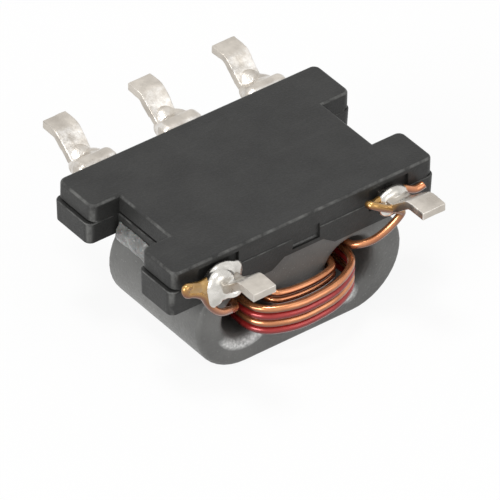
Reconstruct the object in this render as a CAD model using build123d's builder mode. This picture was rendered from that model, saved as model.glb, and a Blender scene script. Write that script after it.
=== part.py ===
"""RF balun transformer: moulded base plate, two-hole ferrite core and wound magnet wire.

Millimetres, +Z up. The component lies on the flat face of its core with its solder feet up.
The origin is on that face, midway between the foot tips of the two lead rows.
"""

from build123d import *
import math
import os

os.makedirs("parts", exist_ok=True)

# ---- driving dimensions ----

lead_pitch = 1.27            # between neighbouring leads of one row
tip_span = 4.10              # over the foot tips, front to back
foot_rise = 0.07             # solder face of the feet beyond the board side of the plate

plate_width = 3.885          # upper tier, end to end
plate_depth = 2.30           # upper tier, front to back
plate_roof = 0.40            # from the top of the core to the board side of the plate
mould_shift = 0.012          # upper mould half sits this far to the right of the lower one
reach_difference = 0.09      # the three-lead row reaches this much farther out than the other
upper_tier = 0.235           # down to the parting line
end_step = 0.035             # lower tier longer than the upper one at each end
wall_step = 0.015            # and deeper along the lead rows
groove_size = 0.03           # parting groove, height and depth
wing_height = 0.555          # back wings and waist, from the board side down
front_height = 0.605         # front wings, from the board side down
back_wing = 0.694            # depth of the back wings
notch_length = 0.961         # side notches, front to back
waist_width = 3.044          # between the floors of the side notches
corner_radius = 0.10
edge_radius = 0.045
step_radius = 0.02           # upper rim of the lower tier at the wing ends
plate_draft = 2.0            # degrees, lower tier

core_width = 3.06
core_height = 1.45
core_length = 1.795
core_rim = 0.06              # rounding of the outer rims
front_wall = 0.05            # plate wall in front of the core
glue_gap = 0.02              # round the core in its channel
bore_spacing = 1.52
bore_radius = 0.355
mouth_radius = 0.145         # rounding of the bore mouths

arch_base = 0.94             # opening in the lower edge of the front wall
arch_crown = 0.58
arch_height = 0.125
gate_width = 0.41            # recess at the moulding gate
gate_height = 0.21
gate_depth = 0.035
gate_drop = 0.215            # from the board side
gate_offset = 0.03           # to the right of the middle
pocket_width = 0.60          # wall recess round each front terminal
pocket_height = 0.30
pocket_depth = 0.06
pocket_drop = 0.08           # from the board side

lead_thickness = 0.12
foot_width = 0.30
neck_width = 0.28
foot_flat_back = 0.21
foot_flat_front = 0.25
bend_run = 0.30              # level length of the slope between foot and neck
bend_radius = 0.12
neck_drop = 0.243            # axis of the neck below the board side
root_length = 0.30           # lead held in the plastic
root_width = 0.22

wire_diameter = 0.10
turn_gap = 0.005             # between neighbouring turns
wrap_gap = 0.026             # between a neck and the wire wrapped on it
neck_bend = 0.12             # largest bend of a wire round the corner of a neck
sharp_turn = math.radians(75)
outer_aside = 0.01           # passes of the outer layer, in from the bore axes
outer_bow = 0.35             # outer layer, how far it stands off the core
inner_aside = 0.21           # passes of the inner layer, in from the bore axes
inner_bow = 0.14
crossing_bow = 0.245         # primary's first turn, between the two layers
arch_sink = 0.07             # arches start inside the bore mouths
outer_drop = 0.235           # axis of the lowest outer pass below the bore axis
inner_rise = 0.065           # axis of the lowest inner pass above it
left_aside = (-0.19, 0.21)   # x and z of the primary's lead in the left bore, from its axis
right_aside = (-0.02, 0.293)  # and in the right bore

back_drop = 0.28             # straight part of the leads under the back necks
hairpin_reach = 0.30         # primary's end past the outer side of its left neck
hairpin_height = 0.13        # between the two strands of that end
tail_reach = 0.26            # primary's end past the outer side of its right neck

solder_width = 0.56
solder_height = 0.345
solder_length = 0.30         # along the back necks
solder_front = 0.19          # along the left front neck
solder_short = 0.16          # front right joint, where the wire crosses under the neck
solder_gap = 0.005           # solder does not wet the plastic
solder_corner = 0.15
solder_end = 0.09

adhesive_bulge = 0.07        # how far the bead stands off the waist wall
adhesive_margin = 0.03       # bead ends inside the notch
adhesive_drop = 0.36         # from the board side to the upper edge of the bead
adhesive_lap = 0.05          # bead behind the lower edge of the waist
adhesive_angle = 35          # degrees up the flank of the core where the bead ends

# ---- worked out from them ----

plate_top = core_height + plate_roof
foot_top = plate_top + foot_rise
tip_y = tip_span / 2
back_reach = (tip_span - plate_depth + reach_difference) / 2
upper_back = tip_y - back_reach
upper_front = upper_back - plate_depth
wall_back = upper_back + wall_step
wall_front = upper_front - wall_step
notch_back = upper_back - back_wing
notch_front = notch_back - notch_length
upper_half = plate_width / 2
lower_half = upper_half + end_step
waist_half = waist_width / 2
parting = plate_top - upper_tier

core_axis = core_height / 2
core_front = wall_front + front_wall
core_back = core_front + core_length
core_flat = core_width - core_height
bore_x = bore_spacing / 2

neck_axis = plate_top - neck_drop
foot_axis = foot_top - lead_thickness / 2
wire_radius = wire_diameter / 2
turn_pitch = wire_diameter + turn_gap
outer_half = bore_x - outer_aside
inner_half = bore_x - inner_aside
lowest_turn = core_axis - outer_drop
inner_turn = core_axis + inner_rise
left_pass = (left_aside[0] - bore_x, core_axis + left_aside[1])
right_pass = (right_aside[0] + bore_x, core_axis + right_aside[1])
neck_side = neck_width / 2 + wire_radius + wrap_gap
neck_over = lead_thickness / 2 + wire_radius + wrap_gap


def finish(builder, name):
    """Label a finished piece and write it to its file."""
    builder.part.label = name
    export_step(builder.part, f"parts/{name}.step")


# ---- terminals: stamped strip, bent to a gull wing ----


def terminal(x, side, foot_flat):
    """One lead at x; side is +1 for the back row and -1 for the front row."""
    wall = wall_back if side > 0 else -wall_front
    rise = math.atan2(foot_axis - neck_axis, bend_run)
    knee = tip_y - foot_flat - bend_radius * math.tan(rise / 2)
    heel = knee - bend_run
    root = wall - root_length
    slack = (foot_width - root_width) / 2
    with BuildPart() as lead:
        with BuildSketch(Plane.YZ.offset(x)):
            with BuildLine() as spine:
                FilletPolyline(
                    (side * root, neck_axis),
                    (side * heel, neck_axis),
                    (side * knee, foot_axis),
                    (side * tip_y, foot_axis),
                    radius=bend_radius,
                )
            trace(spine.line, line_width=lead_thickness)
        extrude(amount=foot_width / 2, both=True)
        # plan outline: foot, neck and the narrower root inside the plastic
        with BuildSketch(Plane.XY.offset(foot_top)):
            with BuildLine():
                Polyline(
                    (x - foot_width / 2, side * tip_y),
                    (x + foot_width / 2, side * tip_y),
                    (x + foot_width / 2, side * (knee - slack)),
                    (x + neck_width / 2, side * (heel + slack)),
                    (x + neck_width / 2, side * wall),
                    (x + root_width / 2, side * (wall - slack)),
                    (x + root_width / 2, side * root),
                    (x - root_width / 2, side * root),
                    (x - root_width / 2, side * (wall - slack)),
                    (x - neck_width / 2, side * wall),
                    (x - neck_width / 2, side * (heel + slack)),
                    (x - foot_width / 2, side * (knee - slack)),
                    close=True,
                )
            make_face()
        extrude(amount=-foot_top, mode=Mode.INTERSECT)
    return lead


terminals = {
    "terminal_back_left": terminal(-lead_pitch, 1, foot_flat_back),
    "terminal_back_middle": terminal(0, 1, foot_flat_back),
    "terminal_back_right": terminal(lead_pitch, 1, foot_flat_back),
    "terminal_front_left": terminal(-lead_pitch, -1, foot_flat_front),
    "terminal_front_right": terminal(lead_pitch, -1, foot_flat_front),
}
for name, lead in terminals.items():
    finish(lead, name)

# ---- ferrite core: stadium section with two bores ----

with BuildPart() as ferrite_core:
    with BuildSketch(Plane.XZ.offset(-core_front)):
        with Locations((0, core_axis)):
            SlotOverall(core_width, core_height)
    extrude(amount=-core_length)
    rims = ferrite_core.faces().filter_by(Axis.Y).edges()
    fillet(rims, radius=core_rim)
    with BuildSketch(Plane.XZ.offset(-core_front)):
        with Locations((-bore_x, core_axis), (bore_x, core_axis)):
            Circle(bore_radius)
    extrude(amount=-core_length, mode=Mode.SUBTRACT)
    mouths = ferrite_core.edges().filter_by(GeomType.CIRCLE).filter_by(
        lambda edge: abs(edge.radius - bore_radius) < 1e-4
    )
    fillet(mouths, radius=mouth_radius)
finish(ferrite_core, "ferrite_core")

# ---- base plate: two moulded tiers with a channel for the core ----


def tier_outline(left, right, back, front, waist):
    """H-shaped outline of one tier, rounded at the wing ends."""
    with BuildSketch() as outline:
        with BuildLine():
            Polyline(
                (left, back),
                (right, back),
                (right, notch_back),
                (waist, notch_back),
                (waist, notch_front),
                (right, notch_front),
                (right, front),
                (left, front),
                (left, notch_front),
                (-waist, notch_front),
                (-waist, notch_back),
                (left, notch_back),
                close=True,
            )
        make_face()
        wing_ends = outline.vertices().filter_by(lambda corner: not left < 1.001 * corner.X < right)
        fillet(wing_ends, radius=corner_radius)
    return outline.sketch


with BuildPart() as base_plate:
    # lower tier, drafted in towards the core, with a soft upper rim
    with BuildSketch(Plane.XY.offset(parting - groove_size)):
        add(tier_outline(-lower_half, lower_half, wall_back, wall_front, waist_half + wall_step))
    extrude(amount=-(front_height - upper_tier - groove_size), taper=plate_draft)
    rim = base_plate.faces().sort_by(Axis.Z)[-1].edges()
    fillet(rim, radius=step_radius)

    # the neck between the tiers leaves the parting groove open on the end faces
    inset = upper_half - groove_size
    with BuildSketch(Plane.XY.offset(parting - groove_size)):
        add(
            tier_outline(
                mould_shift - inset,
                mould_shift + inset,
                upper_back,
                upper_front,
                waist_half - groove_size,
            )
        )
    extrude(amount=groove_size)

    # upper tier
    with BuildSketch(Plane.XY.offset(parting)):
        add(
            tier_outline(
                mould_shift - upper_half,
                mould_shift + upper_half,
                upper_back,
                upper_front,
                waist_half,
            )
        )
    extrude(amount=upper_tier)
    fillet(base_plate.faces().sort_by(Axis.Z)[-1].edges(), radius=edge_radius)

    # back wings and waist end a little above the front wings
    with BuildSketch(Plane.XY.offset(plate_top - front_height)):
        with Locations((0, (notch_front + wall_back) / 2)):
            Rectangle(2 * plate_width, wall_back - notch_front)
    extrude(amount=front_height - wing_height, mode=Mode.SUBTRACT)

    # channel for the core, closed by the front wall
    with BuildSketch(Plane.XZ.offset(-core_front + glue_gap)):
        with Locations((0, core_axis)):
            SlotOverall(core_width + 2 * glue_gap, core_height + 2 * glue_gap)
    extrude(amount=-(core_length + 2 * glue_gap), mode=Mode.SUBTRACT)

    # opening between the halves of the front wall
    skirt = plate_top - front_height
    with BuildSketch(Plane.XZ.offset(-wall_front)):
        with BuildLine():
            Polyline(
                (-arch_base / 2, skirt),
                (arch_base / 2, skirt),
                (arch_crown / 2, skirt + arch_height),
                (-arch_crown / 2, skirt + arch_height),
                close=True,
            )
        make_face()
    extrude(amount=-front_wall - glue_gap, mode=Mode.SUBTRACT)

    # recess left by the moulding gate
    with BuildSketch(Plane.XZ.offset(-wall_front)):
        with Locations((gate_offset, plate_top - gate_drop - gate_height / 2)):
            Rectangle(gate_width, gate_height)
    extrude(amount=-gate_depth, mode=Mode.SUBTRACT)

    # recesses round the front terminals
    pocket_z = plate_top - pocket_drop - pocket_height / 2
    with BuildSketch(Plane.XZ.offset(-wall_front)):
        with Locations((-lead_pitch, pocket_z), (lead_pitch, pocket_z)):
            Rectangle(pocket_width, pocket_height)
    extrude(amount=-pocket_depth, mode=Mode.SUBTRACT)

    # seats of the lead roots
    for lead in terminals.values():
        add(lead.part, mode=Mode.SUBTRACT)
finish(base_plate, "base_plate")

# ---- windings ----


def turn_at(before, here, after):
    """Angle in radians that a route turns through at a point."""
    run_in = Vector(*here) - Vector(*before)
    run_out = Vector(*after) - Vector(*here)
    return math.radians(run_in.get_angle(run_out))


def corners_only(points):
    """The route without the points that lie on a straight run."""
    turning = [p for a, p, b in zip(points, points[1:], points[2:]) if turn_at(a, p, b) > 0.01]
    return [points[0], *turning, points[-1]]


def bend_radii(points, share=0.45):
    """A radius for each inner point, as large as its two runs allow."""
    radii = []
    for before, here, after in zip(points, points[1:], points[2:]):
        run = min((Vector(*here) - Vector(*before)).length, (Vector(*after) - Vector(*here)).length)
        turn = turn_at(before, here, after)
        radius = share * run / math.tan(turn / 2)
        radii.append(min(radius, neck_bend) if turn > sharp_turn else radius)
    return radii


def arch(start, end, bow, face, outward):
    """Corners of a half turn that bows off one face of the core, between two passes (x, z)."""
    corner = math.tan(math.radians(22.5))
    middle = (start[0] + end[0]) / 2
    half = (end[0] - start[0]) / 2
    reach = bow + arch_sink
    points = []
    for across, out in ((-1, corner), (-corner, 1), (corner, 1), (1, corner)):
        y = face + outward * (reach * out - arch_sink)
        z = start[1] + (end[1] - start[1]) * (across + 1) / 2
        points.append((middle + half * across, y, z))
    return points


def front_arch(start, end, bow):
    return arch(start, end, bow, core_front, -1)


def back_arch(start, end, bow):
    return arch(start, end, bow, core_back, 1)


def beside(x, y, across, up):
    """Where a wire passes a corner of the neck at x; across and up are 1 or -1."""
    return (x + across * neck_side, y, neck_axis + up * neck_over)


def slack(start, end, sags):
    """Points between start and end; each sag is a share of the way and the step aside from there."""
    points = []
    for share, *aside in sags:
        points.append(tuple(a + share * (b - a) + step for a, b, step in zip(start, end, aside)))
    return points


def wire(points):
    """Round wire along runs joined by tangent arcs."""
    points = corners_only(points)
    radii = bend_radii(points)
    print("smallest bend", round(min(radii), 3), "for a wire of radius", wire_radius)
    with BuildPart() as strand:
        with BuildLine() as route:
            FilletPolyline(*points, radius=radii)
        with BuildSketch(Plane(origin=route.line @ 0, z_dir=route.line % 0)):
            Circle(wire_radius)
        sweep(path=route.line)
    return strand


# secondary halves: two wires side by side in the outer layer. Each turn rises one wire
# on the front of the core and one on its back.
red_left = [(-outer_half, lowest_turn + 2 * k * turn_pitch) for k in range(2)]
red_right = [(outer_half, z + turn_pitch) for x, z in red_left]
copper_left = [(-outer_half, z + turn_pitch) for x, z in red_left]
copper_right = [(outer_half, z + 2 * turn_pitch) for x, z in red_left]

# rows of wire on the necks, counted out from the wall
row_back = [wall_back + solder_gap + wire_radius + k * turn_pitch for k in range(2)]
row_front = [wall_front - solder_gap - wire_radius - k * turn_pitch for k in range(2)]


def back_lead(x, row, across, bore_pass, sags):
    """From under a back neck down its outside and into a bore."""
    under = (x + across * neck_side, row, neck_axis - back_drop)
    inside = (bore_pass[0], core_back, bore_pass[1])
    return [under, *slack(under, inside, sags), (inside[0], inside[1] + arch_sink, inside[2])]


near_sags = ((0.4, 0, 0.16, -0.06), (0.8, 0, 0.12, -0.04))
wide_sags = ((0.4, 0, 0.16, -0.06), (0.8, 0, 0.30, -0.14))
high_sags = ((0.4, 0, 0.22, -0.04), (0.8, 0, 0.24, -0.05))

red_points = (
    [beside(-lead_pitch, row_back[1], *corner) for corner in ((-1, -1), (-1, 1))]
    + [beside(-lead_pitch, row_back[0], *corner) for corner in ((1, 1), (1, -1))]
    + back_lead(-lead_pitch, row_back[0], 1, red_left[0], wide_sags)
    + front_arch(red_left[0], red_right[0], outer_bow)
    + back_arch(red_right[0], red_left[1], outer_bow)
    + front_arch(red_left[1], red_right[1], outer_bow)
    + back_lead(0, row_back[1], 1, red_right[1], high_sags)[::-1]
    + [beside(0, row_back[1], *corner) for corner in ((1, 1), (-1, 1), (-1, -1))]
)

copper_points = (
    [beside(0, row_back[0], *corner) for corner in ((1, -1), (1, 1), (-1, 1))]
    + back_lead(0, row_back[0], -1, copper_left[0], wide_sags)
    + front_arch(copper_left[0], copper_right[0], outer_bow)
    + back_arch(copper_right[0], copper_left[1], outer_bow)
    + front_arch(copper_left[1], copper_right[1], outer_bow)
    + back_lead(lead_pitch, row_back[0], -1, copper_right[1], near_sags)[::-1]
    + [beside(lead_pitch, row_back[0], *corner) for corner in ((-1, 1), (1, 1), (1, -1))]
)

# primary: inner layer, between the two front terminals
inner_left = [(-inner_half, inner_turn + k * turn_pitch) for k in range(2)]
inner_right = [(inner_half, z) for x, z in inner_left]

# its left end turns back on itself past the neck, then runs down into the left bore
over_left = beside(-lead_pitch, row_front[0], -1, 1)
hairpin_x = over_left[0] - hairpin_reach
hairpin_z = over_left[2] - lead_thickness / 4
left_mouth = (left_pass[0], core_front + arch_sink, left_pass[1])
hairpin = [
    (hairpin_x, row_front[0], hairpin_z),
    (hairpin_x, row_front[0], hairpin_z - hairpin_height),
    (over_left[0] - wire_diameter, row_front[1], hairpin_z - hairpin_height - wire_radius),
]
left_sags = (
    (0.3, -0.20, -0.10, 0),
    (0.55, -0.22, -0.17, -0.01),
    (0.75, -0.13, -0.19, -0.01),
    (0.9, -0.07, -0.18, 0.02),
)
left_lead = slack(hairpin[-1], left_mouth, left_sags)

# its right end comes out of the right bore, passes under the neck and closes over it
right_mouth = (right_pass[0], core_front + arch_sink, right_pass[1])
under_right = (lead_pitch + wire_radius, row_front[1] - wire_radius, neck_axis - neck_over)
right_sags = ((0.33, 0, -0.05, -0.17), (0.58, 0, -0.04, -0.21), (0.81, 0, -0.02, -0.16))
right_lead = slack(right_mouth, under_right, right_sags)
around_right = [
    beside(lead_pitch, under_right[1], -1, -1),
    (lead_pitch - neck_side, under_right[1], neck_axis),
    (lead_pitch - neck_side - 2 * wire_diameter, row_front[0], neck_axis + neck_over / 2),
    (lead_pitch - neck_side - wire_diameter, row_front[0], neck_axis + neck_over + wire_diameter),
    beside(lead_pitch, row_front[0], 1, 1),
    (lead_pitch + neck_side + tail_reach / 2, row_front[0], neck_axis - wire_radius),
    (lead_pitch + neck_side + tail_reach, row_front[0], neck_axis - wire_radius / 2),
]

primary_points = (
    [beside(-lead_pitch, row_front[0], *corner) for corner in ((1, -1), (1, 1))]
    + hairpin
    + left_lead
    + [left_mouth]
    + back_arch(left_pass, inner_right[0], crossing_bow)
    + front_arch(inner_right[0], inner_left[0], inner_bow)
    + back_arch(inner_left[0], inner_right[1], inner_bow)
    + front_arch(inner_right[1], inner_left[1], inner_bow)
    + back_arch(inner_left[1], right_pass, inner_bow)
    + [right_mouth]
    + right_lead
    + [under_right]
    + around_right
)

windings = {
    "primary_winding": wire(primary_points),
    "secondary_winding_a": wire(red_points),
    "secondary_winding_b": wire(copper_points),
}
for name, winding in windings.items():
    finish(winding, name)

# ---- solder joints ----


def solder_joint(x, side, length):
    """Bead of solder round a neck, closed over the wire ends wrapped on it."""
    wall = (wall_back if side > 0 else -wall_front) + solder_gap
    with BuildPart() as joint:
        with BuildSketch(Plane.XZ.offset(-side * wall)):
            with Locations((x, neck_axis)):
                RectangleRounded(solder_width, solder_height, solder_corner)
        extrude(amount=-side * length)
        end = joint.faces().sort_by(Axis.Y)[-1 if side > 0 else 0]
        fillet(end.edges(), radius=solder_end)
    return joint


joints = {
    "back_left": (-lead_pitch, 1, solder_length, ["secondary_winding_a"]),
    "back_middle": (0, 1, solder_length, ["secondary_winding_a", "secondary_winding_b"]),
    "back_right": (lead_pitch, 1, solder_length, ["secondary_winding_b"]),
    "front_left": (-lead_pitch, -1, solder_front, ["primary_winding"]),
    "front_right": (lead_pitch, -1, solder_short, ["primary_winding"]),
}
for place, (x, side, length, wires) in joints.items():
    bead = solder_joint(x, side, length)
    with BuildPart() as joint:
        add(bead.part)
        add(terminals[f"terminal_{place}"].part, mode=Mode.SUBTRACT)
        for winding in wires:
            add(windings[winding].part, mode=Mode.SUBTRACT)
    # drops that the wire would cut loose are left out
    with BuildPart() as largest:
        add(joint.solids().sort_by(SortBy.VOLUME)[-1])
    finish(largest, f"solder_{place}")

# ---- adhesive beads in the two side notches ----

wall_x = waist_half + wall_step
adhesive_top = plate_top - adhesive_drop
flank_angle = math.radians(adhesive_angle)
flank_x = core_flat / 2 + core_height / 2 * math.cos(flank_angle)
flank_z = core_axis + core_height / 2 * math.sin(flank_angle)


def adhesive(side):
    """Bead along one notch, from the waist wall over its lower edge to the flank of the core."""
    with BuildPart() as bead:
        with BuildSketch(Plane.XZ.offset(-notch_front - adhesive_margin)):
            with BuildLine():
                ThreePointArc(
                    (side * wall_x, adhesive_top),
                    (side * (wall_x + adhesive_bulge), (adhesive_top + flank_z) / 2),
                    (side * flank_x, flank_z),
                )
                Polyline(
                    (side * flank_x, flank_z),
                    (side * (flank_x - 2 * adhesive_lap), plate_top - wing_height + adhesive_lap),
                    (side * (wall_x - adhesive_lap), adhesive_top),
                    (side * wall_x, adhesive_top),
                )
            make_face()
        extrude(amount=-(notch_length - 2 * adhesive_margin))
        add(base_plate.part, mode=Mode.SUBTRACT)
        add(ferrite_core.part, mode=Mode.SUBTRACT)
    return bead


finish(adhesive(-1), "adhesive_left")
finish(adhesive(1), "adhesive_right")
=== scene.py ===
import math

import bpy
from mathutils import Matrix, Vector


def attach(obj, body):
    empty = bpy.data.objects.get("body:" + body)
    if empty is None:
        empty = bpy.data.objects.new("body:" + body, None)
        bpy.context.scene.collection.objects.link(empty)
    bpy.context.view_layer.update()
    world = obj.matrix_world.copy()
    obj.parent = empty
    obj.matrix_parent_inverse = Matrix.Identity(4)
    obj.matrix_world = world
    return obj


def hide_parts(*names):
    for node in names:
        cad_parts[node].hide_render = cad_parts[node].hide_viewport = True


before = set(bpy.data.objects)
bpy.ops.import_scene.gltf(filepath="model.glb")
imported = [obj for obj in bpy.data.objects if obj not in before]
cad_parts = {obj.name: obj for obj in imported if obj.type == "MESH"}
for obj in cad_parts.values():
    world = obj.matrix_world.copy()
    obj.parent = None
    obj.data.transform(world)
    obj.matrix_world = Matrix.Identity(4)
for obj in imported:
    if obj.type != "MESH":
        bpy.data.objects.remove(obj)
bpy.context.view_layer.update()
mm = 0.001
bench = 1000  # small pieces are shaped at a thousand times their size
mergeGap = 0.0004  # points nearer than this are one, in millimetres
white = (1, 1, 1, 1)
print("frame loaded")

# angles in degrees, lens in millimetres, distance and target in millimetres
cameraView = {
    "azimuth": -38.191,
    "elevation": 38.029,
    "roll": 1.152,
    "lens": 576,
    "distance": 93.822,
    "target": (-0.918, -1.338, 1.85),
}


def placeCamera(view):
    a, e, r = (math.radians(view[key]) for key in ("azimuth", "elevation", "roll"))
    right = Vector((math.cos(a), math.sin(a), 0))
    back = Vector((math.sin(a) * math.cos(e), -math.cos(a) * math.cos(e), math.sin(e)))
    up = back.cross(right)
    rolledRight = right * math.cos(r) + up * math.sin(r)
    rolledUp = up * math.cos(r) - right * math.sin(r)
    spot = (Vector(view["target"]) + back * view["distance"]) * mm
    bpy.ops.object.camera_add(location=spot)
    camera = bpy.context.object
    camera.name = "productCamera"
    turn = Matrix((rolledRight, rolledUp, back)).transposed()
    camera.rotation_euler = turn.to_euler()
    camera.data.lens = view["lens"]
    camera.data.sensor_width = 36
    camera.data.clip_start = 5 * mm
    camera.data.clip_end = 10
    bpy.context.scene.camera = camera


placeCamera(cameraView)
print("camera placed")

stageLook = {
    "ambient": 0.42,
    "floorGlow": 0.90,
    "floorColour": (0.90, 0.90, 0.89, 1),
    "floorSize": 1.6,  # metres
    "floorDrop": 0.001,  # millimetres below the part, so that no two faces lie in one plane
    "lampDistance": 0.35,  # metres
}
# direction towards the lamp, its width in metres, and its share of a full light level
lamps = {
    "overhead": ((-0.15, 0.05, 1.0), 0.10, 0.34),
    "leftWindow": ((-1.0, -0.15, 0.45), 0.20, 0.64),
    "frontFill": ((0.25, -1.0, 0.55), 0.30, 0.22),
}


def seenDirectly(tree):
    # 1 for rays that show the background: seen, mirrored or through glass
    path = tree.nodes.new("ShaderNodeLightPath")
    total = tree.nodes.new("ShaderNodeMath")
    total.operation = "ADD"
    tree.links.new(path.outputs["Is Camera Ray"], total.inputs[0])
    tree.links.new(path.outputs["Is Glossy Ray"], total.inputs[1])
    both = tree.nodes.new("ShaderNodeMath")
    both.operation = "ADD"
    both.use_clamp = True
    tree.links.new(total.outputs[0], both.inputs[0])
    tree.links.new(path.outputs["Is Transmission Ray"], both.inputs[1])
    return both.outputs[0]


def lightRoom(look):
    world = bpy.data.worlds.new("paleRoom")
    bpy.context.scene.world = world
    world.use_nodes = True
    tree = world.node_tree
    tree.nodes.clear()
    room = tree.nodes.new("ShaderNodeBackground")
    room.inputs["Strength"].default_value = look["ambient"]
    backdrop = tree.nodes.new("ShaderNodeBackground")
    backdrop.inputs["Strength"].default_value = 1
    for part in (room, backdrop):
        part.inputs["Color"].default_value = white
    mix = tree.nodes.new("ShaderNodeMixShader")
    out = tree.nodes.new("ShaderNodeOutputWorld")
    tree.links.new(seenDirectly(tree), mix.inputs["Fac"])
    tree.links.new(room.outputs[0], mix.inputs[1])
    tree.links.new(backdrop.outputs[0], mix.inputs[2])
    tree.links.new(mix.outputs[0], out.inputs["Surface"])


def addLamp(name, towards, width, level, distance):
    spot = Vector(towards).normalized() * distance
    bpy.ops.object.light_add(type="AREA", location=spot)
    lamp = bpy.context.object
    lamp.name = name
    lamp.data.shape = "DISK"
    lamp.data.size = width
    lamp.data.energy = level * math.pi ** 2 * distance ** 2
    lamp.rotation_euler = spot.to_track_quat("Z", "Y").to_euler()


def addFloor(look):
    height = -look["floorDrop"] * mm
    bpy.ops.mesh.primitive_plane_add(size=look["floorSize"], location=(0, 0, height))
    floor = bpy.context.object
    floor.name = "paleFloor"
    paint = bpy.data.materials.new("paleFloor")
    paint.use_nodes = True
    tree = paint.node_tree
    tree.nodes.clear()
    card = tree.nodes.new("ShaderNodeBsdfDiffuse")
    card.inputs["Color"].default_value = look["floorColour"]
    glow = tree.nodes.new("ShaderNodeEmission")
    glow.inputs["Color"].default_value = white
    glow.inputs["Strength"].default_value = 1
    share = tree.nodes.new("ShaderNodeMath")
    share.operation = "MULTIPLY"
    share.inputs[1].default_value = look["floorGlow"]
    mix = tree.nodes.new("ShaderNodeMixShader")
    out = tree.nodes.new("ShaderNodeOutputMaterial")
    tree.links.new(seenDirectly(tree), share.inputs[0])
    tree.links.new(share.outputs[0], mix.inputs["Fac"])
    tree.links.new(card.outputs[0], mix.inputs[1])
    tree.links.new(glow.outputs[0], mix.inputs[2])
    tree.links.new(mix.outputs[0], out.inputs["Surface"])
    floor.data.materials.append(paint)


lightRoom(stageLook)
for name, (towards, width, level) in lamps.items():
    addLamp(name, towards, width, level, stageLook["lampDistance"])
addFloor(stageLook)
bpy.context.scene.view_settings.view_transform = "Standard"
print("room lit")


def newGroup(name, inputs, outputs):
    # surface effect that several finishes share
    group = bpy.data.node_groups.new(name, "ShaderNodeTree")
    for label, value in inputs:
        socket = group.interface.new_socket(label, in_out="INPUT", socket_type="NodeSocketFloat")
        socket.default_value = value
    for label in outputs:
        group.interface.new_socket(label, in_out="OUTPUT", socket_type="NodeSocketFloat")
    return group, group.nodes.new("NodeGroupInput"), group.nodes.new("NodeGroupOutput")


def millimetres(tree, stretch=(1, 1, 1)):
    # place on the piece, counted in millimetres
    place = tree.nodes.new("ShaderNodeTexCoord")
    mapping = tree.nodes.new("ShaderNodeMapping")
    mapping.inputs["Scale"].default_value = [part / mm for part in stretch]
    tree.links.new(place.outputs["Object"], mapping.inputs["Vector"])
    return mapping.outputs["Vector"]


def noise(tree, vector, scale, detail, roughness=0.55, distortion=0):
    cloud = tree.nodes.new("ShaderNodeTexNoise")
    tree.links.new(vector, cloud.inputs["Vector"])
    if isinstance(scale, (int, float)):
        cloud.inputs["Scale"].default_value = scale
    else:
        tree.links.new(scale, cloud.inputs["Scale"])
    cloud.inputs["Detail"].default_value = detail
    cloud.inputs["Roughness"].default_value = roughness
    cloud.inputs["Distortion"].default_value = distortion
    return cloud.outputs["Fac"]


def remap(tree, value, low, high, toLow=0, toHigh=1):
    ramp = tree.nodes.new("ShaderNodeMapRange")
    tree.links.new(value, ramp.inputs["Value"])
    ends = (("From Min", low), ("From Max", high), ("To Min", toLow), ("To Max", toHigh))
    for label, end in ends:
        if isinstance(end, (int, float)):
            ramp.inputs[label].default_value = end
        else:
            tree.links.new(end, ramp.inputs[label])
    return ramp.outputs["Result"]


def combine(tree, operation, first, second):
    result = tree.nodes.new("ShaderNodeMath")
    result.operation = operation
    for socket, value in zip(result.inputs, (first, second)):
        if isinstance(value, (int, float)):
            socket.default_value = value
        else:
            tree.links.new(value, socket)
    return result.outputs[0]


def grainGroup():
    # fine grain over broad blotches
    group, given, made = newGroup(
        "surfaceGrain", [("Grain per mm", 40), ("Blotches per mm", 2)], ["Grain", "Blotch"]
    )
    place = millimetres(group)
    grain = noise(group, place, given.outputs["Grain per mm"], 4, 0.6)
    blotch = noise(group, place, given.outputs["Blotches per mm"], 3)
    group.links.new(remap(group, grain, 0.3, 0.7), made.inputs["Grain"])
    group.links.new(remap(group, blotch, 0.35, 0.65), made.inputs["Blotch"])
    return group


def speckGroup():
    # separate bright crystals, as in sintered or filled material
    group, given, made = newGroup(
        "brightSpecks", [("Specks per mm", 30), ("Size", 0.2)], ["Specks"]
    )
    cells = group.nodes.new("ShaderNodeTexVoronoi")
    group.links.new(millimetres(group), cells.inputs["Vector"])
    group.links.new(given.outputs["Specks per mm"], cells.inputs["Scale"])
    dot = remap(group, cells.outputs["Distance"], given.outputs["Size"], 0)
    pick = group.nodes.new("ShaderNodeSeparateColor")
    group.links.new(cells.outputs["Color"], pick.inputs["Color"])
    chosen = remap(group, pick.outputs["Red"], 0.55, 0.95)
    group.links.new(combine(group, "MULTIPLY", dot, chosen), made.inputs["Specks"])
    return group


def scuffGroup():
    # short rubbed streaks
    group, given, made = newGroup("rubbedStreaks", [("Streaks per mm", 6)], ["Streaks"])
    place = millimetres(group, (0.4, 3.2, 2.0))
    thin = noise(group, place, given.outputs["Streaks per mm"], 5, 0.7, 0.4)
    group.links.new(remap(group, thin, 0.56, 0.72), made.inputs["Streaks"])
    return group


def regionGroup():
    # 1 inside a box given in millimetres, fading over a short way outside it
    sides = [("Low X", -1), ("High X", 1), ("Low Y", -1), ("High Y", 1)]
    sides += [("Low Z", 0), ("High Z", 1), ("Fade", 0.1)]
    group, given, made = newGroup("withinBox", sides, ["Inside"])
    parts = group.nodes.new("ShaderNodeSeparateXYZ")
    group.links.new(millimetres(group), parts.inputs[0])
    inside = 1
    for axis in "XYZ":
        low, high = given.outputs["Low " + axis], given.outputs["High " + axis]
        fade = given.outputs["Fade"]
        rising = remap(group, parts.outputs[axis], combine(group, "SUBTRACT", low, fade), low)
        falling = remap(group, parts.outputs[axis], combine(group, "ADD", high, fade), high)
        inside = combine(group, "MULTIPLY", inside, combine(group, "MULTIPLY", rising, falling))
    group.links.new(inside, made.inputs["Inside"])
    return group


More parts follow.
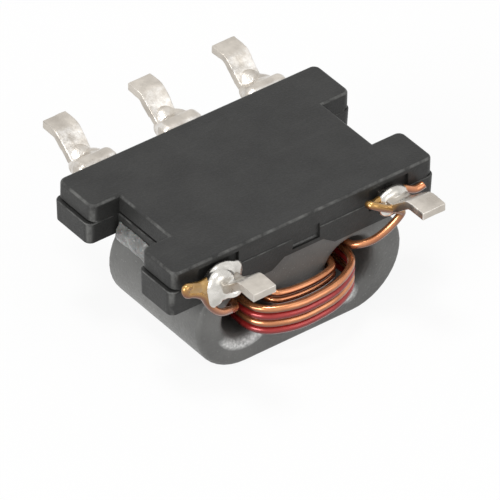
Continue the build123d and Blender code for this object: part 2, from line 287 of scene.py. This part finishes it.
def edgeGroup():
    # 1 on the rounded edges between square faces, broken up by a little noise
    group, given, made = newGroup("roundedEdges", [("Breaks per mm", 5)], ["Edge"])
    shape = group.nodes.new("ShaderNodeNewGeometry")
    parts = group.nodes.new("ShaderNodeSeparateXYZ")
    group.links.new(shape.outputs["Normal"], parts.inputs[0])
    largest = 0
    for axis in "XYZ":
        side = combine(group, "ABSOLUTE", parts.outputs[axis], 0)
        largest = combine(group, "MAXIMUM", largest, side)
    rounding = remap(group, largest, 0.98, 0.86)
    breaks = noise(group, millimetres(group), given.outputs["Breaks per mm"], 5, 0.65)
    # mask for lighter edges: partly wear, partly painted highlight
    edgeWearAndHighlight = combine(group, "MULTIPLY", rounding, remap(group, breaks, 0.40, 0.62))
    group.links.new(edgeWearAndHighlight, made.inputs["Edge"])
    return group


def ringGroup():
    # 1 on a ring round an axis along y, in millimetres
    sides = [("Axis X", 0), ("Axis Z", 0), ("Inner", 0.3), ("Outer", 0.5)]
    sides += [("Front Y", -1), ("Depth", 0.2), ("Top Z", 2), ("Fade", 0.04)]
    group, given, made = newGroup("boreRing", sides, ["Ring"])
    parts = group.nodes.new("ShaderNodeSeparateXYZ")
    group.links.new(millimetres(group), parts.inputs[0])
    acrossX = combine(group, "SUBTRACT", parts.outputs["X"], given.outputs["Axis X"])
    acrossZ = combine(group, "SUBTRACT", parts.outputs["Z"], given.outputs["Axis Z"])
    squaredX = combine(group, "MULTIPLY", acrossX, acrossX)
    squaredZ = combine(group, "MULTIPLY", acrossZ, acrossZ)
    reach = combine(group, "POWER", combine(group, "ADD", squaredX, squaredZ), 0.5)
    fade = given.outputs["Fade"]
    inner, outer = given.outputs["Inner"], given.outputs["Outer"]
    inside = remap(group, reach, inner, combine(group, "ADD", inner, fade))
    outside = remap(group, reach, outer, combine(group, "SUBTRACT", outer, fade))
    front = given.outputs["Front Y"]
    deepest = combine(group, "ADD", front, given.outputs["Depth"])
    near = remap(group, parts.outputs["Y"], deepest, front)
    top = given.outputs["Top Z"]
    below = remap(group, parts.outputs["Z"], top, combine(group, "SUBTRACT", top, 0.1))
    ring = combine(group, "MULTIPLY", combine(group, "MULTIPLY", inside, outside), near)
    ring = combine(group, "MULTIPLY", ring, below)
    group.links.new(ring, made.inputs["Ring"])
    return group


surfaceGrain = grainGroup()
brightSpecks = speckGroup()
rubbedStreaks = scuffGroup()
withinBox = regionGroup()
roundedEdges = edgeGroup()
boreRing = ringGroup()


def useGroup(tree, group, **values):
    placed = tree.nodes.new("ShaderNodeGroup")
    placed.node_tree = group
    for socket in placed.inputs:
        key = socket.name.replace(" ", "_")
        if key in values:
            socket.default_value = values[key]
    return placed


def blendColour(tree, factor, first, second, mode="MIX"):
    mix = tree.nodes.new("ShaderNodeMix")
    mix.data_type = "RGBA"
    mix.blend_type = mode
    if isinstance(factor, (int, float)):
        mix.inputs[0].default_value = factor
    else:
        tree.links.new(factor, mix.inputs[0])
    for socket, colour in ((mix.inputs[6], first), (mix.inputs[7], second)):
        if isinstance(colour, tuple):
            socket.default_value = (*colour, 1)
        else:
            tree.links.new(colour, socket)
    return mix.outputs[2]


def newFinish(name, **fixed):
    finish = bpy.data.materials.new(name)
    finish.use_nodes = True
    shader = finish.node_tree.nodes["Principled BSDF"]
    for label, value in fixed.items():
        shader.inputs[label.replace("_", " ")].default_value = value
    return finish, finish.node_tree, shader


def addBump(tree, shader, height, depth, strength=1):
    # depth of the relief in millimetres
    bump = tree.nodes.new("ShaderNodeBump")
    bump.inputs["Strength"].default_value = strength
    bump.inputs["Distance"].default_value = depth * mm
    tree.links.new(height, bump.inputs["Height"])
    tree.links.new(bump.outputs["Normal"], shader.inputs["Normal"])



def cover(tree, colour, mask, top, amount):
    # lays one more colour over the others where the mask says so
    return blendColour(tree, combine(tree, "MULTIPLY", mask, amount), colour, top)


def setColour(tree, shader, colour):
    tree.links.new(colour, shader.inputs["Base Color"])


def setRoughness(tree, shader, mask, ends, streaks=None, polish=0):
    rough = remap(tree, mask, 0, 1, *ends)
    if streaks is not None:
        rough = combine(tree, "SUBTRACT", rough, combine(tree, "MULTIPLY", streaks, polish))
    tree.links.new(rough, shader.inputs["Roughness"])


def box(low, high, fade):
    # limits for withinBox, from two opposite corners in millimetres
    limits = {"Fade": fade}
    for axis, start, end in zip("XYZ", low, high):
        limits["Low_" + axis] = start
        limits["High_" + axis] = end
    return limits


def mouldedPlastic():
    look = {
        "dark": (0.015, 0.015, 0.0142),
        "pale": (0.023, 0.023, 0.0218),
        "flecks": ((0.08, 0.08, 0.075), 0.35),  # colour and how much of it
        # rounded edges painted lighter: partly wear, partly painted highlight
        "wornAndHighlitEdges": ((0.12, 0.12, 0.115), 0.8),
        # painted shade: the deep part of the gate recess is painted near black
        "paintedSlotShade": (0.003, 0.003, 0.003),
        "gateSlot": box((-0.13, -1.142, 1.53), (0.22, -1.0, 1.64), 0.012),
        "rough": (0.44, 0.60),
        "polish": 0.12,
        "relief": 0.0016,
    }
    finish, tree, shader = newFinish("mouldedPlastic", Specular_IOR_Level=0.36)
    grain = useGroup(tree, surfaceGrain, Grain_per_mm=38, Blotches_per_mm=2.2)
    flecks = useGroup(tree, brightSpecks, Specks_per_mm=26, Size=0.22)
    streaks = useGroup(tree, rubbedStreaks, Streaks_per_mm=5)
    edges = useGroup(tree, roundedEdges, Breaks_per_mm=5)
    slot = useGroup(tree, withinBox, **look["gateSlot"])
    colour = blendColour(tree, grain.outputs["Blotch"], look["dark"], look["pale"])
    colour = cover(tree, colour, flecks.outputs[0], *look["flecks"])
    colour = cover(tree, colour, edges.outputs[0], *look["wornAndHighlitEdges"])
    # painted shade in the gate recess slot
    setColour(tree, shader, blendColour(tree, slot.outputs[0], colour, look["paintedSlotShade"]))
    grains = grain.outputs["Grain"]
    setRoughness(tree, shader, grains, look["rough"], streaks.outputs[0], look["polish"])
    addBump(tree, shader, grains, look["relief"])
    return finish


def sinteredFerrite():
    look = {
        "dark": (0.096, 0.096, 0.092),
        "pale": (0.134, 0.134, 0.128),
        "crystals": ((0.42, 0.42, 0.41), 0.5),
        "lipHighlight": (0.80, 0.80, 0.79),
        "lipHighlightPatches": (0.1, 0.9, 0.3, 1),
        # painted shade: the inside of both bores is painted one flat grey
        "paintedBoreShade": (0.150, 0.150, 0.143),
        "coreFront": -1.16,
        # painted highlight, in pale patches, on the lower lips of the two mouths
        "highlitLips": [
            dict(Axis_X=-0.80, Axis_Z=0.70, Inner=0.33, Outer=0.49, Top_Z=0.52, Fade=0.05),
            dict(Axis_X=0.73, Axis_Z=0.33, Inner=-0.1, Outer=0.17, Top_Z=0.60, Fade=0.07),
        ],
        "boreAxes": (-0.76, 0.76),
        "bore": dict(Axis_Z=0.725, Inner=-0.1, Outer=0.372, Depth=1.5, Fade=0.012),
        "rough": (0.34, 0.52),
        "relief": 0.0028,
    }
    finish, tree, shader = newFinish("sinteredFerrite", Specular_IOR_Level=0.55)
    grain = useGroup(tree, surfaceGrain, Grain_per_mm=26, Blotches_per_mm=1.6)
    crystals = useGroup(tree, brightSpecks, Specks_per_mm=30, Size=0.30)
    front = look["coreFront"]
    colour = blendColour(tree, grain.outputs["Blotch"], look["dark"], look["pale"])
    colour = cover(tree, colour, crystals.outputs[0], *look["crystals"])
    patches = remap(tree, grain.outputs["Grain"], *look["lipHighlightPatches"])
    # painted highlight on the lower lips of the mouths
    for lip in look["highlitLips"]:
        ring = useGroup(tree, boreRing, Front_Y=front, **lip)
        colour = cover(tree, colour, ring.outputs[0], look["lipHighlight"], patches)
    # painted shade inside both bores
    for axis in look["boreAxes"]:
        ring = useGroup(tree, boreRing, Front_Y=front, Axis_X=axis, **look["bore"])
        colour = blendColour(tree, ring.outputs[0], colour, look["paintedBoreShade"])
    setColour(tree, shader, colour)
    setRoughness(tree, shader, grain.outputs["Grain"], look["rough"])
    addBump(tree, shader, grain.outputs["Grain"], look["relief"])
    return finish


enamel = {
    "rough": (0.20, 0.28),
    "relief": 0.0005,
    # from faces that point up this much to those that point down this much, the share of
    #  the painted shade colour grows from the third number to the fourth
    "run": (0.60, -0.20, 0, 0.92),
}


def enamelledWire(name, look):
    # clear varnish over copper, with flux left on it next to the joints
    finish, tree, shader = newFinish(
        name,
        Metallic=look["metallic"],
        Coat_Weight=look["coat"],
        Coat_Roughness=0.08,
        Coat_IOR=1.5,
    )
    grain = useGroup(tree, surfaceGrain, Grain_per_mm=9, Blotches_per_mm=3)
    colour = blendColour(tree, grain.outputs["Blotch"], look["deep"], look["light"])
    for limits in look["fluxed"]:
        area = useGroup(tree, withinBox, **limits)
        colour = blendColour(tree, area.outputs[0], colour, look["flux"])
    # painted shade: the wire is darker on its lower side, where less light falls
    shape = tree.nodes.new("ShaderNodeNewGeometry")
    sides = tree.nodes.new("ShaderNodeSeparateXYZ")
    tree.links.new(shape.outputs["Normal"], sides.inputs[0])
    shadedShare = remap(tree, sides.outputs["Z"], *enamel["run"])
    setColour(tree, shader, blendColour(tree, shadedShare, colour, look["lower"]))
    setRoughness(tree, shader, grain.outputs["Grain"], enamel["rough"])
    addBump(tree, shader, grain.outputs["Grain"], enamel["relief"])
    return finish


def tinPlate():
    look = {
        "dark": (0.47, 0.43, 0.38),
        "pale": (0.62, 0.575, 0.515),
        # edges painted near white: partly rubbed, partly painted highlight
        "rubbedAndHighlitEdges": ((0.88, 0.86, 0.83), 0.7),
        "rough": (0.30, 0.44),
        "polish": 0.1,
        "relief": 0.0020,
    }
    finish, tree, shader = newFinish("tinPlate", Metallic=1)
    grain = useGroup(tree, surfaceGrain, Grain_per_mm=22, Blotches_per_mm=4)
    streaks = useGroup(tree, rubbedStreaks, Streaks_per_mm=4)
    edges = useGroup(tree, roundedEdges, Breaks_per_mm=6)
    blotches = grain.outputs["Blotch"]
    colour = blendColour(tree, blotches, look["dark"], look["pale"])
    setColour(tree, shader, cover(tree, colour, edges.outputs[0], *look["rubbedAndHighlitEdges"]))
    setRoughness(tree, shader, blotches, look["rough"], streaks.outputs[0], look["polish"])
    addBump(tree, shader, grain.outputs["Grain"], look["relief"])
    return finish


def brightSolder():
    look = {
        "dark": (0.54, 0.52, 0.48),
        "pale": (0.78, 0.755, 0.71),
        "rough": (0.32, 0.20),
        "relief": 0.0012,
    }
    finish, tree, shader = newFinish("brightSolder", Metallic=1)
    grain = useGroup(tree, surfaceGrain, Grain_per_mm=14, Blotches_per_mm=5)
    blotches = grain.outputs["Blotch"]
    setColour(tree, shader, blendColour(tree, blotches, look["dark"], look["pale"]))
    setRoughness(tree, shader, blotches, look["rough"])
    addBump(tree, shader, grain.outputs["Grain"], look["relief"])
    return finish


def cloudedAdhesive():
    look = {
        "dark": (0.085, 0.085, 0.082),
        "pale": (0.155, 0.155, 0.150),
        "filler": ((0.48, 0.47, 0.45), 0.8),
        "depth": 0.05,
        "rough": (0.25, 0.45),
        "relief": 0.0040,
    }
    finish, tree, shader = newFinish(
        "cloudedAdhesive", Coat_Weight=0.6, Coat_Roughness=0.12, Subsurface_Weight=0.15
    )
    shader.inputs["Subsurface Scale"].default_value = look["depth"] * mm
    grain = useGroup(tree, surfaceGrain, Grain_per_mm=18, Blotches_per_mm=6)
    filler = useGroup(tree, brightSpecks, Specks_per_mm=24, Size=0.35)
    colour = blendColour(tree, grain.outputs["Blotch"], look["dark"], look["pale"])
    setColour(tree, shader, cover(tree, colour, filler.outputs[0], *look["filler"]))
    setRoughness(tree, shader, grain.outputs["Grain"], look["rough"])
    addBump(tree, shader, grain.outputs["Grain"], look["relief"])
    return finish


def amberFlux():
    look = {
        "dark": (0.30, 0.155, 0.035),
        "pale": (0.46, 0.27, 0.075),
        "rough": (0.3, 0.5),
        "relief": 0.002,
    }
    finish, tree, shader = newFinish("amberFlux", Coat_Weight=0.7, Coat_Roughness=0.15)
    grain = useGroup(tree, surfaceGrain, Grain_per_mm=20, Blotches_per_mm=6)
    blotches = grain.outputs["Blotch"]
    setColour(tree, shader, blendColour(tree, blotches, look["dark"], look["pale"]))
    setRoughness(tree, shader, grain.outputs["Grain"], look["rough"])
    addBump(tree, shader, grain.outputs["Grain"], look["relief"])
    return finish


copperLook = {
    "coat": 0.8,
    "metallic": 0.80,
    "deep": (0.56, 0.200, 0.080),
    "light": (0.70, 0.290, 0.120),
    # painted shade for the lower side of the wire
    "lower": (0.15, 0.042, 0.018),
    "flux": (0.46, 0.255, 0.065),
    "fluxed": [
        box((-2.2, -1.7, 1.36), (-1.05, -1.20, 1.85), 0.08),
        box((0.76, -1.7, 1.46), (1.40, -1.22, 1.85), 0.08),
    ],
}
redLook = {
    "coat": 0.4,
    "metallic": 0.35,
    "deep": (0.34, 0.020, 0.018),
    "light": (0.44, 0.034, 0.030),
    # painted shade for the lower side of the wire
    "lower": (0.13, 0.008, 0.008),
    "flux": (0.50, 0.20, 0.07),
    "fluxed": [box((-2.2, 1.12, 1.40), (2.2, 1.7, 1.85), 0.06)],
}
plastic = mouldedPlastic()
ferrite = sinteredFerrite()
copperEnamel = enamelledWire("copperEnamel", copperLook)
redEnamel = enamelledWire("redEnamel", redLook)
tin = tinPlate()
solder = brightSolder()
adhesive = cloudedAdhesive()
fluxVarnish = amberFlux()
keptNodes = {
    "base_plate": plastic,
    "ferrite_core": ferrite,
    "secondary_winding_a": redEnamel,
    "secondary_winding_b": copperEnamel,
}
for node, finish in keptNodes.items():
    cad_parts[node].material_slots[0].material = finish
print("finishes made")


def pickOnly(piece):
    bpy.ops.object.select_all(action="DESELECT")
    piece.select_set(True)
    bpy.context.view_layer.objects.active = piece


def benchCopy(node, name):
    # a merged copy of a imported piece, enlarged for the bench
    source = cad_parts[node]
    piece = source.copy()
    piece.data = source.data.copy()
    piece.name = name
    piece.parent = None
    for key in list(piece.keys()):
        del piece[key]
    bpy.context.scene.collection.objects.link(piece)
    pickOnly(piece)
    piece.scale = (bench, bench, bench)
    bpy.ops.object.transform_apply(location=True, rotation=True, scale=True)
    bpy.ops.object.mode_set(mode="EDIT")
    bpy.ops.mesh.select_all(action="SELECT")
    bpy.ops.mesh.customdata_custom_splitnormals_clear()
    bpy.ops.mesh.remove_doubles(threshold=mergeGap)
    bpy.ops.mesh.normals_make_consistent(inside=False)
    bpy.ops.object.mode_set(mode="OBJECT")
    return piece


def addModifier(piece, kind, **values):
    modifier = piece.modifiers.new(kind.lower(), kind)
    for key, value in values.items():
        setattr(modifier, key, value)
    pickOnly(piece)
    bpy.ops.object.modifier_apply(modifier=modifier.name)


def ripple(piece, size, height):
    cloud = bpy.data.textures.new(piece.name + "Ripple", "CLOUDS")
    cloud.noise_scale = size
    cloud.noise_depth = 1
    addModifier(
        piece, "DISPLACE", texture=cloud, texture_coords="LOCAL", strength=height, mid_level=0.5
    )


def flow(piece, cell, smoothing, ripples, swell=0):
    # runs the joined lumps together into one skin
    addModifier(piece, "REMESH", mode="VOXEL", voxel_size=cell, adaptivity=0)
    addModifier(piece, "SMOOTH", factor=0.5, iterations=smoothing)
    if swell:
        addModifier(piece, "DISPLACE", strength=swell, mid_level=0)
    for size, height in ripples:
        ripple(piece, size, height)


def finishPiece(piece, finish, slot, *nodes):
    pickOnly(piece)
    piece.scale = (1 / bench, 1 / bench, 1 / bench)
    bpy.ops.object.transform_apply(location=True, rotation=True, scale=True)
    bpy.ops.object.shade_smooth()
    piece.data.materials.clear()
    piece.data.materials.append(finish)
    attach(piece, "root")
    if nodes:
        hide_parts(*nodes)


def addLump(centre, size, turn=(0, 0, 0)):
    bpy.ops.mesh.primitive_uv_sphere_add(segments=32, ring_count=20, radius=1, location=centre)
    lump = bpy.context.object
    lump.scale = size
    lump.rotation_euler = [math.radians(angle) for angle in turn]
    bpy.ops.object.transform_apply(location=True, rotation=True, scale=True)
    return lump


def addSleeve(centre, size, rounding):
    # rounded block, such as solder over one wrapped turn of wire
    bpy.ops.mesh.primitive_cube_add(size=2, location=centre)
    sleeve = bpy.context.object
    sleeve.scale = size
    bpy.ops.object.transform_apply(location=True, rotation=True, scale=True)
    bpy.ops.object.mode_set(mode="EDIT")
    bpy.ops.mesh.select_all(action="SELECT")
    bpy.ops.mesh.bevel(offset=rounding, segments=6, affect="EDGES")
    bpy.ops.object.mode_set(mode="OBJECT")
    return sleeve


def addRoute(name, points, radius):
    # round wire along one smooth spline
    curve = bpy.data.curves.new(name, "CURVE")
    curve.dimensions = "3D"
    spline = curve.splines.new("NURBS")
    spline.points.add(len(points) - 1)
    for point, place in zip(spline.points, points):
        point.co = (*place, 1)
    spline.order_u = 3
    spline.use_endpoint_u = True
    spline.resolution_u = 10
    curve.bevel_depth = radius
    curve.bevel_resolution = 5
    curve.use_fill_caps = True
    route = bpy.data.objects.new(name, curve)
    bpy.context.scene.collection.objects.link(route)
    pickOnly(route)
    bpy.ops.object.convert(target="MESH")
    bpy.ops.object.mode_set(mode="EDIT")
    bpy.ops.mesh.select_all(action="SELECT")
    bpy.ops.mesh.remove_doubles(threshold=mergeGap)
    bpy.ops.mesh.normals_make_consistent(inside=False)
    bpy.ops.object.mode_set(mode="OBJECT")
    return bpy.context.object


def joinAll(pieces, name):
    bpy.ops.object.select_all(action="DESELECT")
    for piece in pieces:
        piece.select_set(True)
    bpy.context.view_layer.objects.active = pieces[0]
    bpy.ops.object.join()
    joined = bpy.context.object
    joined.name = name
    return joined


# ripples: size and height
terminalShape = {
    "cell": 0.012,
    "smoothing": 3,
    "ripples": [(0.30, 0.014), (0.09, 0.006)],
    "swell": -0.008,
}
# middle of each lead across, how much larger it is made, and how far it is moved aside
terminalFit = {
    "back_left": (-1.27, (1.19, 1.01, 1), (0, 0, 0)),
    "back_middle": (0, (1.19, 1.01, 1), (0, 0, 0)),
    "back_right": (1.27, (1.19, 1.01, 1), (0, 0, 0)),
    "front_left": (-1.27, (1.17, 1.01, 1), (0.02, 0, -0.045)),
    "front_right": (1.27, (1.19, 1.01, 1), (0, 0, 0)),
}
for place, (middle, size, shift) in terminalFit.items():
    lead = benchCopy("terminal_" + place, "tinnedLead_" + place)
    flow(lead, **terminalShape)
    lead.scale = size
    lead.location = (middle * (1 - size[0]) + shift[0], shift[1], shift[2])
    pickOnly(lead)
    bpy.ops.object.transform_apply(location=True, rotation=True, scale=True)
    finishPiece(lead, tin, "terminal_tin", "terminal_" + place)
print("terminals made")

solderFlow = {"cell": 0.012, "smoothing": 16, "ripples": [(0.20, 0.014)]}
sleeveRounding = 0.09
# lumps: centre, half sizes and turn in degrees; sleeves: centre, half sizes
# the back joints have taken on the dull skin of the leads
solderJoints = {
    "back_left": {
        "finish": tin,
        "lumps": [
            ((-1.27, 1.29, 1.607), (0.28, 0.18, 0.190), (0, 0, 0)),
            ((-1.16, 1.37, 1.615), (0.17, 0.21, 0.125), (0, 0, 14)),
            ((-1.37, 1.38, 1.590), (0.14, 0.20, 0.090), (0, 0, -12)),
            ((-1.27, 1.50, 1.655), (0.15, 0.17, 0.065), (30, 0, 0)),
        ],
        "sleeves": [((-1.27, 1.235, 1.607), (0.290, 0.125, 0.210))],
    },
    "back_middle": {
        "finish": tin,
        "lumps": [
            ((0, 1.29, 1.607), (0.28, 0.18, 0.190), (0, 0, 0)),
            ((0.12, 1.39, 1.615), (0.17, 0.23, 0.130), (0, 0, 16)),
            ((-0.10, 1.38, 1.590), (0.14, 0.20, 0.090), (0, 0, -12)),
            ((0.01, 1.49, 1.655), (0.15, 0.17, 0.065), (30, 0, 0)),
        ],
        "sleeves": [((0, 1.235, 1.607), (0.290, 0.125, 0.210))],
    },
    "back_right": {
        "finish": tin,
        "lumps": [
            ((1.27, 1.26, 1.607), (0.28, 0.17, 0.190), (0, 0, 0)),
            ((1.37, 1.36, 1.615), (0.16, 0.20, 0.125), (0, 0, 14)),
            ((1.16, 1.36, 1.590), (0.13, 0.19, 0.095), (0, 0, -12)),
            ((1.27, 1.48, 1.650), (0.15, 0.17, 0.065), (30, 0, 0)),
        ],
        "sleeves": [((1.27, 1.205, 1.607), (0.290, 0.105, 0.210))],
    },
    "front_left": {
        "finish": solder,
        "lumps": [
            ((-1.25, -1.26, 1.585), (0.285, 0.10, 0.190), (0, 8, 0)),
            ((-1.08, -1.25, 1.62), (0.10, 0.08, 0.10), (0, 0, 0)),
            ((-1.37, -1.335, 1.53), (0.235, 0.145, 0.225), (0, 0, 0)),
            ((-1.46, -1.39, 1.43), (0.12, 0.085, 0.12), (0, 0, 0)),
            ((-1.53, -1.385, 1.37), (0.05, 0.05, 0.13), (0, -25, 0)),
            ((-1.22, -1.42, 1.42), (0.13, 0.09, 0.065), (-20, 0, 0)),
            ((-1.25, -1.47, 1.56), (0.115, 0.12, 0.06), (-32, 0, 0)),
        ],
        "sleeves": [],
    },
    "front_right": {
        "finish": solder,
        "lumps": [
            ((1.26, -1.27, 1.585), (0.24, 0.115, 0.160), (0, -4, 0)),
            ((1.14, -1.33, 1.52), (0.12, 0.09, 0.10), (0, 0, 0)),
            ((1.29, -1.42, 1.60), (0.12, 0.14, 0.055), (-32, 0, 0)),
        ],
        "sleeves": [],
    },
}
for place, shape in solderJoints.items():
    parts = [addLump(*lump) for lump in shape["lumps"]]
    parts += [addSleeve(*sleeve, sleeveRounding) for sleeve in shape["sleeves"]]
    bead = joinAll(parts, "solderBead_" + place)
    flow(bead, **solderFlow)
    finishPiece(bead, shape["finish"], "solder", "solder_" + place)
print("solder joints made")

primary = {
    "radius": 0.05,
    "coreFront": -1.16,
    "coreBack": 0.635,
    "archSink": 0.07,
    "pitch": 0.105,
    "innerHalf": 0.55,
    "innerTurn": 0.79,
    "innerBow": 0.14,
    "crossingBow": 0.245,
    "leftPass": (-0.95, 0.935),
    "rightPass": (0.74, 1.018),
    # over the left neck, back on itself past its outer side, then down into the left bore
    "leftEnd": [
        (-1.12, -1.265, 1.50),
        (-1.12, -1.265, 1.63),
        (-1.27, -1.27, 1.65),
        (-1.45, -1.29, 1.64),
        (-1.62, -1.31, 1.635),
        (-1.76, -1.325, 1.685),
        (-1.865, -1.33, 1.725),
        (-1.865, -1.345, 1.62),
        (-1.76, -1.35, 1.60),
        (-1.62, -1.36, 1.51),
        (-1.56, -1.375, 1.38),
        (-1.48, -1.385, 1.25),
        (-1.36, -1.375, 1.14),
        (-1.20, -1.33, 1.08),
        (-1.05, -1.25, 0.99),
    ],
    # out of the right bore, under the neck, back on itself and over the neck
    "rightEnd": [
        (0.80, -1.22, 1.055),
        (0.93, -1.30, 1.095),
        (1.06, -1.35, 1.175),
        (1.19, -1.385, 1.285),
        (1.28, -1.41, 1.39),
        (1.31, -1.43, 1.47),
        (1.16, -1.435, 1.56),
        (1.00, -1.42, 1.645),
        (0.875, -1.385, 1.715),
        (0.86, -1.31, 1.69),
        (0.97, -1.28, 1.63),
        (1.08, -1.265, 1.63),
        (1.27, -1.265, 1.665),
        (1.44, -1.265, 1.65),
        (1.56, -1.27, 1.57),
        (1.66, -1.275, 1.545),
        (1.74, -1.28, 1.58),
    ],
}


def halfTurn(start, end, bow, face, outward, sink):
    # corners of a half turn off one face of the core, between two passes (x, z)
    corner = math.tan(math.radians(22.5))
    middle = (start[0] + end[0]) / 2
    half = (end[0] - start[0]) / 2
    points = []
    for across, out in ((-1, corner), (-corner, 1), (corner, 1), (1, corner)):
        y = face + outward * ((bow + sink) * out - sink)
        z = start[1] + (end[1] - start[1]) * (across + 1) / 2
        points.append((middle + half * across, y, z))
    return points


def primaryRoute(coil):
    front = (coil["coreFront"], -1, coil["archSink"])
    back = (coil["coreBack"], 1, coil["archSink"])
    left = [(-coil["innerHalf"], coil["innerTurn"] + k * coil["pitch"]) for k in range(2)]
    right = [(coil["innerHalf"], z) for _, z in left]
    mouth = coil["coreFront"] + coil["archSink"]
    leftMouth = (coil["leftPass"][0], mouth, coil["leftPass"][1])
    rightMouth = (coil["rightPass"][0], mouth, coil["rightPass"][1])
    return (
        coil["leftEnd"]
        + [leftMouth]
        + halfTurn(coil["leftPass"], right[0], coil["crossingBow"], *back)
        + halfTurn(right[0], left[0], coil["innerBow"], *front)
        + halfTurn(left[0], right[1], coil["innerBow"], *back)
        + halfTurn(right[1], left[1], coil["innerBow"], *front)
        + halfTurn(left[1], coil["rightPass"], coil["innerBow"], *back)
        + [rightMouth]
        + coil["rightEnd"]
    )


wire = addRoute("primaryWire", primaryRoute(primary), primary["radius"])
finishPiece(wire, copperEnamel, "enamel_natural", "primary_winding")
# flux varnish that fills the gap between the two strands of the left end
fluxLumps = [
    ((-1.60, -1.335, 1.575), (0.13, 0.05, 0.125), (0, 10, 0)),
    ((-1.73, -1.338, 1.635), (0.16, 0.052, 0.090), (0, 24, 0)),
]
fluxFlow = {"cell": 0.01, "smoothing": 3, "ripples": [(0.08, 0.008)]}
film = joinAll([addLump(*lump) for lump in fluxLumps], "fluxFilm_left")
flow(film, **fluxFlow)
finishPiece(film, fluxVarnish, "enamel_natural")
print("primary winding made")

glue = {"cell": 0.014, "smoothing": 2, "ripples": [(0.12, 0.03), (0.04, 0.01)]}
for side in ("left", "right"):
    bead = benchCopy("adhesive_" + side, "glueBead_" + side)
    flow(bead, **glue)
    finishPiece(bead, adhesive, "adhesive", "adhesive_" + side)
print("adhesive made")
